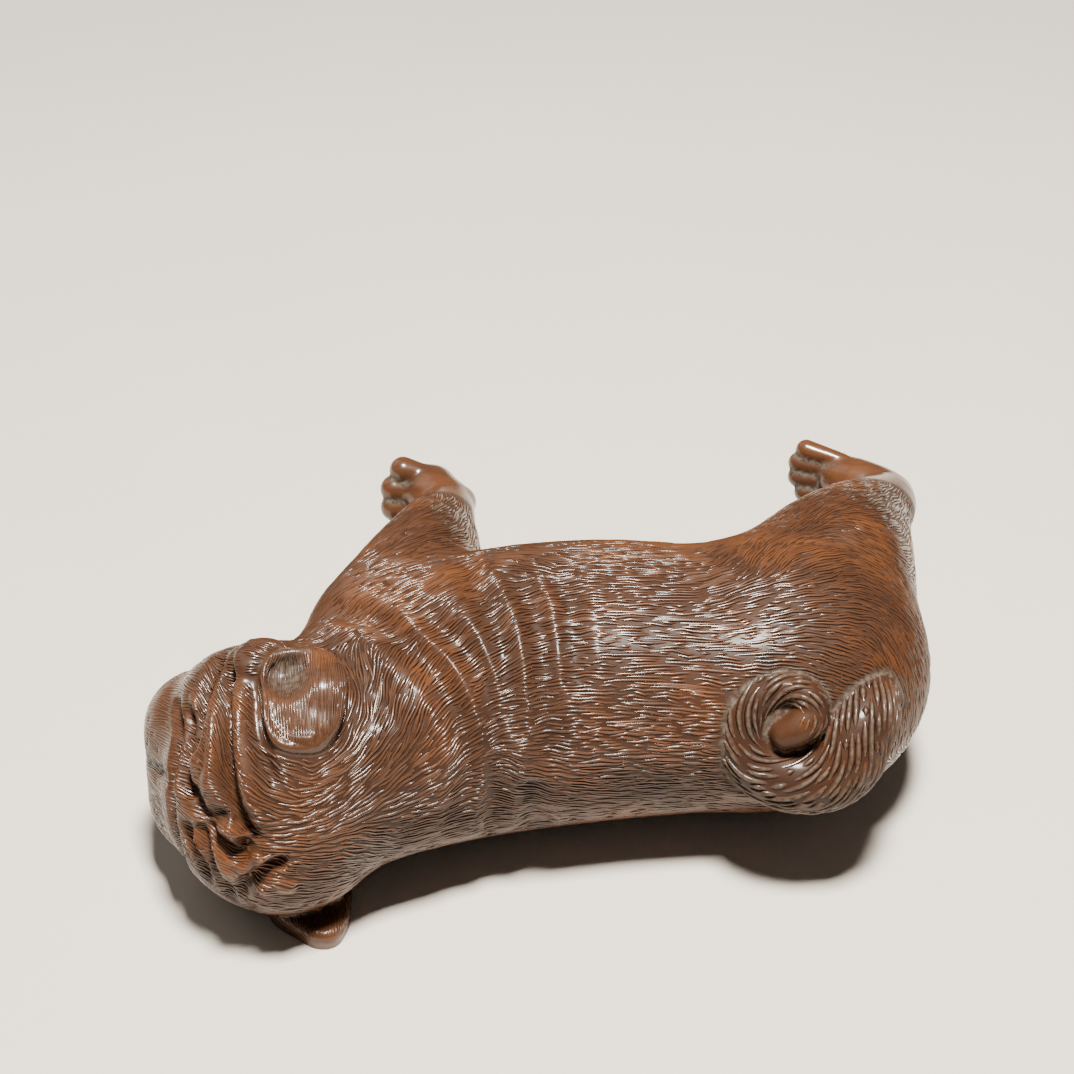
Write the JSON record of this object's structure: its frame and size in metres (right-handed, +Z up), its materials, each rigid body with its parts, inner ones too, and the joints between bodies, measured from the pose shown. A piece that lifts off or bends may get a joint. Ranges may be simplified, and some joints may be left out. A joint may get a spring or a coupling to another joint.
{
  "type": "tea pet",
  "caption": "Carved boxwood pug lying asleep on its side, with folded face and neck, curled tail and bent legs, made to sit on a tea tray.",
  "frame": {"origin": "middle of the bounding box in X and Y, on the plane the dog lies on", "axes": "+Z up from the table, +X from the head towards the tail, +Y towards the feet and the back of the dog on the -Y side"},
  "size_m": [0.08, 0.062, 0.0272],
  "materials": {
    "boxwood": "dark brown stain under polished wax"
  },
  "bodies": {
    "root": {"carved_dog": "boxwood"}
  },
  "joints": []
}
